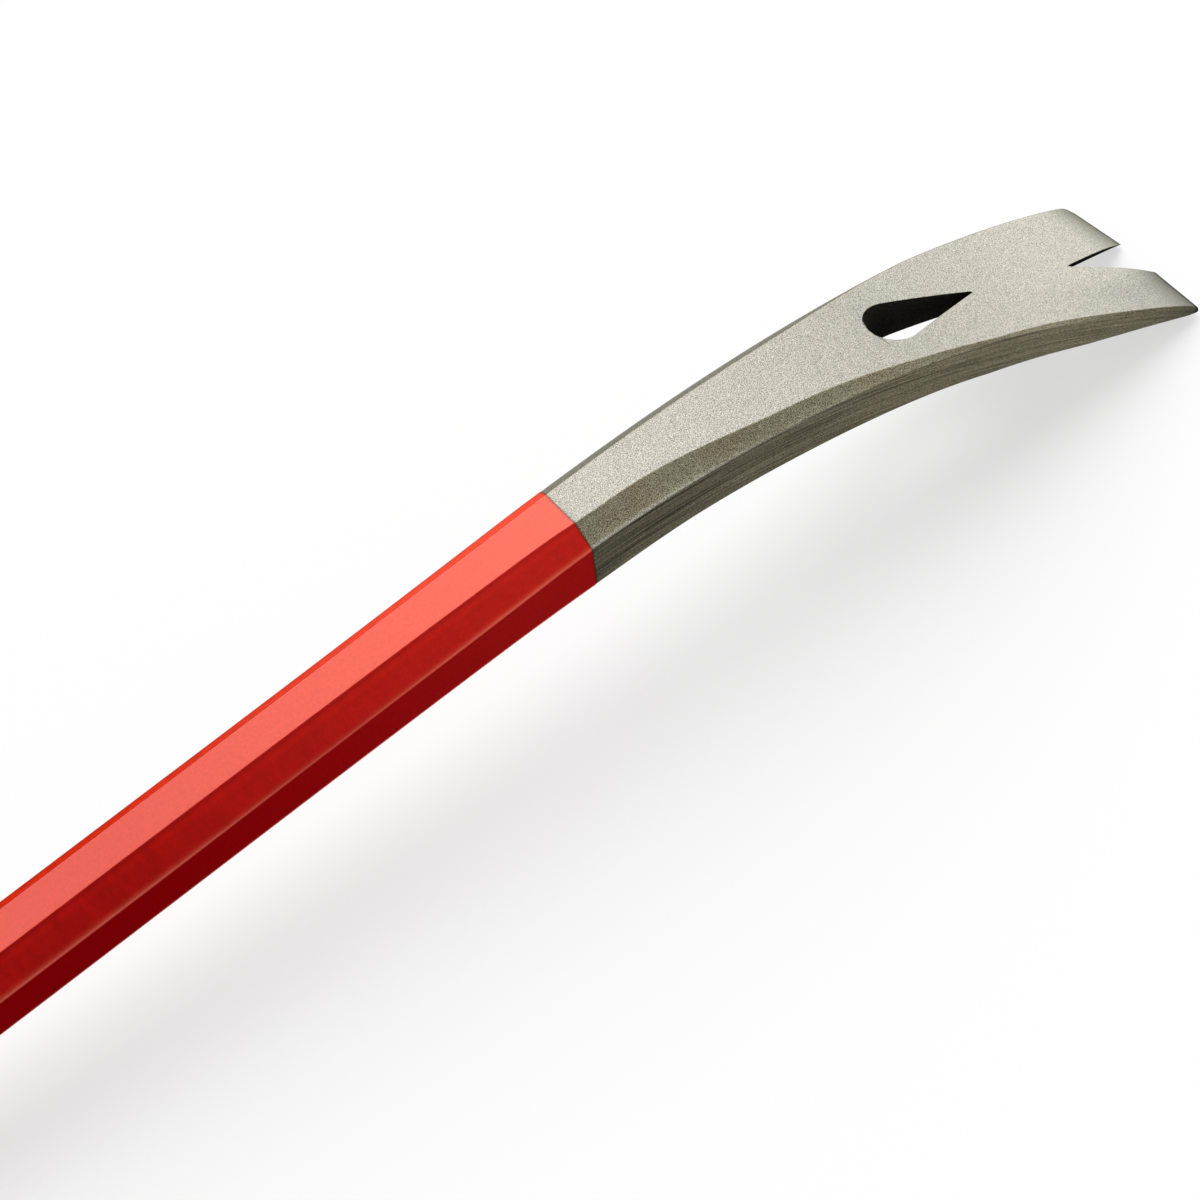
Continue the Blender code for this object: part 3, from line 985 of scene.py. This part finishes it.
def new_material(name):
    material = bpy.data.materials.new(name)
    material.use_nodes = True
    tree = material.node_tree
    return material, tree, tree.nodes["Principled BSDF"]


def set_colour(shader, tone, shade, roughness):
    """The tone, lightened or darkened by the shade, without the shader's own plain highlight."""
    tree, values = tone.id_data, {0: tone, "Scale": shade}
    scaled = new_node(tree, "ShaderNodeVectorMath", values, operation="SCALE").outputs["Vector"]
    tree.links.new(scaled, shader.inputs["Base Color"])
    shader.inputs["Roughness"].default_value = roughness
    shader.inputs["Specular IOR Level"].default_value = 0.0


def glint(on):
    """Where a painted highlight lies: the rounded edge between a bevel and a side, fading up the bevel."""
    rising = maths("POWER", ramp(on.down, 0.74, 1.0), 3.2)
    turned = maths("MAXIMUM", on.edge, maths("SUBTRACT", 1.0, on.side))
    return times(rising, turned, on.bevel)


def steel_tone(on, steel):
    """The steel's colours: bevels with warm patches, sides, painted shade on the bevels towards +Y, painted
    highlights on the rounded edges, ground tips partly darkened with painted shade, and walls in painted
    shade.
    """
    warm = ramp(grained(on.place, PATCHES)["Height"], 0.42, 0.60, 0.0, 0.8)
    # Where the bevels have run out, the rounding that is left has the side's colour
    run_out = times(on.bevel, ramp(on.past_paint, 0.085, 0.115))
    # Painted highlight on the rounded edges, strongest by the paint
    painted_edge_glint = times(glint(on), ramp(on.past_paint, 0.005, 0.065, 1.0, 0.25))
    return overlaid(
        blend(on.bevel, steel.colour, blend(warm, steel.bevel_colour, steel.heat_colour)),
        (maths("MAXIMUM", run_out, on.side), steel.side_colour),
        (on.back, steel.back_shade_colour),
        (painted_edge_glint, steel.edge_highlight_colour),
        (fade(maths("POWER", on.ground, 1.6), 0.0, 0.9), steel.tip_colour),
        (on.wall, steel.wall_shade_colour),
    )


def steel_shades(on):
    """The factors that make the steel lighter or darker than its colours, apart from its grain: painted
    shadows at the lacquer's end and along the cutting edge, painted light and shade along the sides, the
    outer face and the bevels, and a darker tine towards -Y.
    """
    # Painted shadow along the steel where the lacquer ends
    paint_edge_shadow = ramp(maths("ABSOLUTE", on.past_paint), 0.00015, 0.00045, 0.45, 1.0)
    # Painted shade along the cutting edge
    cutting_edge_shade = ramp(on.ground, 0.915, 0.955, 1.0, 0.30)
    # Painted light and shade along the sides: darker by the paint, lighter towards the tips
    painted_side_shade = ramp(on.past_paint, 0.0, 0.150, 0.60, 1.30)
    # Painted light and shade along the outer face: lighter by the paint, darker midway along the claw,
    # lighter again towards the tips
    painted_face_dimming = ramp(on.past_paint, 0.0, 0.085, 1.07, 0.86)
    painted_face_light = maths("MAXIMUM", painted_face_dimming, ramp(on.past_paint, 0.085, 0.140, 0.86, 1.08))
    # Painted light on the lower part of each bevel
    lower = ramp(on.down, 0.45, 1.0, 0.97, 1.16)
    # The tine towards -Y is darker near its end
    darker_tine = times(ramp(axis_of(on.along, "Y"), -0.004, -0.012), ramp(on.past_paint, 0.122, 0.148))
    return (
        paint_edge_shadow, cutting_edge_shade, fade(on.side, 1.0, painted_side_shade), fade(on.bevel, painted_face_light, 1.0),
        fade(on.flank, 1.0, lower), fade(darker_tine, 1.0, 0.8),
    )


def steel_material():
    """Blasted steel with streaked sides, painted shade on the walls of the openings and on the ground edges,
    and painted highlights on the rounded edges.
    """
    steel = bpy.context.scene.crowbar_steel
    material, tree, shader = new_material("blasted_steel")
    on = surface(tree, "past_paint", "down", "ground", "wall")
    # The grain is stronger on the bevels, as painted shading of the blasted surface, and is ground away
    # towards the cutting edges
    strength = maths("ADD", fade(on.flank, 1.1, 1.5), fade(on.ground, 0.0, -0.6))
    grain = grained(on.place, BLASTED, strength)
    streaky = times(on.side, fade(on.wall, 1.0, 0.0), ramp(on.past_paint, 0.020, 0.120, 1.0, 0.45))
    streaks = grained(mapped(on.along, Scale=STREAKED), DRAWN, streaky)
    shade = times(grain["Shade"], streaks["Shade"], *steel_shades(on))
    set_colour(shader, steel_tone(on, steel), shade, steel.roughness)
    # The walls are not metallic, so that they keep their painted shade
    tree.links.new(fade(on.wall, steel.metallic, 0.0), shader.inputs["Metallic"])
    tree.links.new(bump(grain["Height"], 0.35, 0.00008), shader.inputs["Normal"])
    return material


def painted_film_light(on, painted_light_near_ends):
    """Painted light and shade on the film: lighter towards its ends, darker between them. A bevel has a
    painted dark line and a painted paler band at its top.
    """
    low, high = fade(on.bevel, 0.845, 0.79), fade(on.bevel, 1.06, 1.14)
    band = ramp(maths("ABSOLUTE", maths("SUBTRACT", on.down, 0.2)), 0.0, 0.13, 1.12, 1.0)
    top = times(ramp(on.down, 0.03, 0.10, 0.86, 1.0), band)
    return times(fade(painted_light_near_ends, low, high), fade(on.bevel, 1.0, top))


def lacquer_material():
    """Glossy lacquer with a faint orange peel, painted light and shade by facing and along the film, painted
    mottled reflections and painted highlights on the rounded edges.
    """
    coat = bpy.context.scene.crowbar_coat
    material, tree, shader = new_material("red_lacquer")
    on = surface(tree, "past_paint", "down")
    # How near a point lies to the lacquer's ends, where painted light makes the film lighter and paler
    painted_light_near_ends = ramp(on.past_paint, -0.115, -0.015)
    edge = glint(on)
    painted_pale_light = times(painted_light_near_ends, fade(maths("SUBTRACT", on.bevel, on.back), 0.040, 0.015))
    # The tone lays painted light and shade by facing over one red, then painted pale light towards the
    # film's ends and a painted highlight on the rounded edges
    tone = overlaid(
        blend(on.bevel, coat.colour, coat.bevel_colour), (on.side, coat.side_colour),
        (on.back, coat.back_shade_colour), (painted_pale_light, coat.painted_pale_light_colour), (edge, coat.edge_highlight_colour),
    )
    # Painted mottled reflections on the bevels, strongest away from the lacquer's ends
    painted_cloud_strength = times(on.flank, fade(painted_light_near_ends, 0.15, 0.05))
    painted_clouds = grained(mapped(on.along, Scale=CLOUDED), CLOUDS, painted_cloud_strength)
    # The peel's shade is painted reflection off the orange peel; its height is a real bump
    peel = grained(on.place, PEEL, 0.08)
    # Painted shade on the rounding of the bevels towards +Y
    painted_back_edge_shade = times(on.back, ramp(on.down, 0.70, 0.95))
    # The shade holds painted reflections, painted light and shade on the film, a painted highlight on the
    # rounded edges, painted shade on the rounding towards +Y and a painted shadow where the lacquer ends
    shade = times(
        painted_clouds["Shade"], peel["Shade"], painted_film_light(on, painted_light_near_ends), fade(edge, 1.0, 1.5),
        fade(painted_back_edge_shade, 1.0, 0.4), ramp(on.past_paint, -0.0004, -0.0001, 1.0, 0.55),
    )
    set_colour(shader, tone, shade, coat.roughness)
    gloss = fade(on.bevel, coat.gloss, coat.bevel_gloss)
    for mask, weight in ((on.side, coat.side_gloss), (on.back, coat.side_gloss), (edge, coat.edge_gloss)):
        gloss = fade(mask, gloss, weight)
    tree.links.new(gloss, shader.inputs["Coat Weight"])
    shader.inputs["Coat Roughness"].default_value = coat.gloss_roughness
    fine = bump(peel["Height"], 0.05, 0.0002)
    waves = grained(on.place, WAVES)["Height"]
    tree.links.new(bump(waves, 0.1, 0.0006, Normal=fine), shader.inputs["Normal"])
    return material


def floor_material():
    """Shows itself nearly white, and lights the bar as a grey floor does."""
    stage = bpy.context.scene.crowbar_stage
    material, tree, shader = new_material("studio_floor")
    ray = new_node(tree, "ShaderNodeLightPath").outputs
    seen = maths("MAXIMUM", ray["Is Camera Ray"], ray["Is Glossy Ray"])
    seen = maths("MAXIMUM", seen, ray["Is Transmission Ray"])
    tree.links.new(blend(seen, stage.floor_bounce, stage.floor), shader.inputs["Base Color"])
    tree.links.new(blend(seen, (0.0, 0.0, 0.0), stage.floor_glow), shader.inputs["Emission Color"])
    shader.inputs["Emission Strength"].default_value = 1.0
    shader.inputs["Roughness"].default_value = 0.9
    shader.inputs["Specular IOR Level"].default_value = 0.1
    return material


# Light and camera

KEY_DISTANCE = 3.0
# How high in the sky, as the sine of the height, the horizon's brightness ends and the ceiling's starts
HORIZON_ENDS, CEILING_STARTS = 0.12, 0.40
# How closely, as a cosine, a direction has to point at the glow to get its first and its full light
GLOW_STARTS, GLOW_FULL = 0.70, 0.93
CLIP_START, CLIP_END = 0.01, 100.0


def sky_direction(height, heading):
    """Towards a point of the sky, by its height and its heading from +Y towards +X."""
    level = math.cos(height)
    return Vector((math.sin(heading) * level, math.cos(heading) * level, math.sin(height)))


class CROWBAR_OT_forge_bar(bpy.types.Operator):
    """Models the one-piece steel bar with its claw, its gooseneck, both notches and the nail hole"""

    bl_idname = "crowbar.forge_bar"
    bl_label = "Forge the bar"

    def execute(self, context):
        claw_half = forge_half("claw_half", claw_side(), context.scene.crowbar_hole)
        neck_half = forge_half("neck_half", neck_side())
        bar = join_halves("crowbar_steel", claw_half, neck_half)
        finish_mesh(bar)
        bar.data.materials.append(steel_material())
        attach(bar, BODY)
        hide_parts("forged_bar")
        return {"FINISHED"}


class CROWBAR_OT_lacquer_shank(bpy.types.Operator):
    """Models the red lacquer over the shank"""

    bl_idname = "crowbar.lacquer_shank"
    bl_label = "Lacquer the shank"

    def execute(self, context):
        claw_half = coat_half("claw_half", claw_side())
        neck_half = coat_half("neck_half", neck_side())
        skin = join_halves("crowbar_lacquer", claw_half, neck_half)
        film = context.scene.crowbar_coat.film
        apply_modifier(skin, "Film", "SOLIDIFY", thickness=film, offset=-1.0)
        finish_mesh(skin)
        skin.data.materials.append(lacquer_material())
        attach(skin, BODY)
        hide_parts("lacquer_coat")
        return {"FINISHED"}


class CROWBAR_OT_set_stage(bpy.types.Operator):
    """Lays the pale floor, hangs the soft light and stands the camera"""

    bl_idname = "crowbar.set_stage"
    bl_label = "Set the stage"

    def execute(self, context):
        stage = context.scene.crowbar_stage
        bpy.ops.object.select_all(action="DESELECT")
        bpy.ops.mesh.primitive_plane_add(size=stage.floor_size)
        floor = context.object
        floor.name = "studio_floor"
        floor.data.materials.append(floor_material())
        self.hang_key(stage)
        self.light_sky(context.scene, stage)
        self.stand_camera(context.scene, stage)
        context.scene.view_settings.view_transform = "Standard"
        return {"FINISHED"}

    def hang_key(self, stage):
        towards = sky_direction(stage.key_height, stage.key_heading)
        bpy.ops.object.light_add(type="SUN", location=towards * KEY_DISTANCE)
        key = bpy.context.object
        key.name = "soft_key"
        key.rotation_euler = towards.to_track_quat("Z", "Y").to_euler()
        key.data.energy = stage.key_strength
        key.data.angle = stage.key_spread

    def light_sky(self, scene, stage):
        world = bpy.data.worlds.new("studio_sky")
        world.use_nodes = True
        tree = world.node_tree
        soft = {"interpolation_type": "SMOOTHSTEP"}
        direction = new_node(tree, "ShaderNodeTexCoord").outputs["Generated"]
        height = axis_of(direction, "Z")
        level = ramp(height, HORIZON_ENDS, CEILING_STARTS, stage.horizon, stage.ceiling, **soft)
        values = {0: direction, 1: sky_direction(stage.glow_height, stage.glow_heading)}
        near = new_node(tree, "ShaderNodeVectorMath", values, operation="DOT_PRODUCT").outputs["Value"]
        glow = ramp(near, GLOW_STARTS, GLOW_FULL, 0.0, stage.glow, **soft)
        tree.links.new(maths("ADD", level, glow), tree.nodes["Background"].inputs["Color"])
        scene.world = world

    def stand_camera(self, scene, stage):
        bpy.ops.object.camera_add(location=stage.camera_place)
        camera = bpy.context.object
        camera.name = "photo_camera"
        facing = (Vector(stage.camera_aim) - Vector(stage.camera_place)).normalized()
        lean = Quaternion(facing, stage.camera_roll)
        camera.rotation_euler = (lean @ facing.to_track_quat("-Z", "Y")).to_euler()
        camera.data.lens = stage.lens
        camera.data.clip_start = CLIP_START
        camera.data.clip_end = CLIP_END
        scene.camera = camera


class CROWBAR_PT_panel(bpy.types.Panel):
    bl_idname = "CROWBAR_PT_panel"
    bl_label = "Crowbar"
    bl_space_type = "VIEW_3D"
    bl_region_type = "UI"
    bl_category = "Crowbar"

    def draw(self, context):
        for operator in OPERATORS:
            self.layout.operator(operator.bl_idname)
        for key, group in SETTINGS.items():
            box = self.layout.box()
            for field in group.__annotations__:
                box.prop(getattr(context.scene, key), field)


SETTINGS = {
    "crowbar_bar": CROWBAR_PG_bar,
    "crowbar_claw": CROWBAR_PG_claw,
    "crowbar_hole": CROWBAR_PG_hole,
    "crowbar_neck": CROWBAR_PG_neck,
    "crowbar_coat": CROWBAR_PG_coat,
    "crowbar_steel": CROWBAR_PG_steel,
    "crowbar_stage": CROWBAR_PG_stage,
}
OPERATORS = (CROWBAR_OT_set_stage, CROWBAR_OT_forge_bar, CROWBAR_OT_lacquer_shank)


def register():
    for item in (*SETTINGS.values(), *OPERATORS, CROWBAR_PT_panel):
        bpy.utils.register_class(item)
    for key, group in SETTINGS.items():
        setattr(bpy.types.Scene, key, PointerProperty(type=group))


def unregister():
    for key in SETTINGS:
        delattr(bpy.types.Scene, key)
    for item in (CROWBAR_PT_panel, *OPERATORS, *SETTINGS.values()):
        bpy.utils.unregister_class(item)


def main():
    register()
    bpy.ops.crowbar.set_stage()
    bpy.ops.crowbar.forge_bar()
    bpy.ops.crowbar.lacquer_shank()


if __name__ == "__main__":
    main()
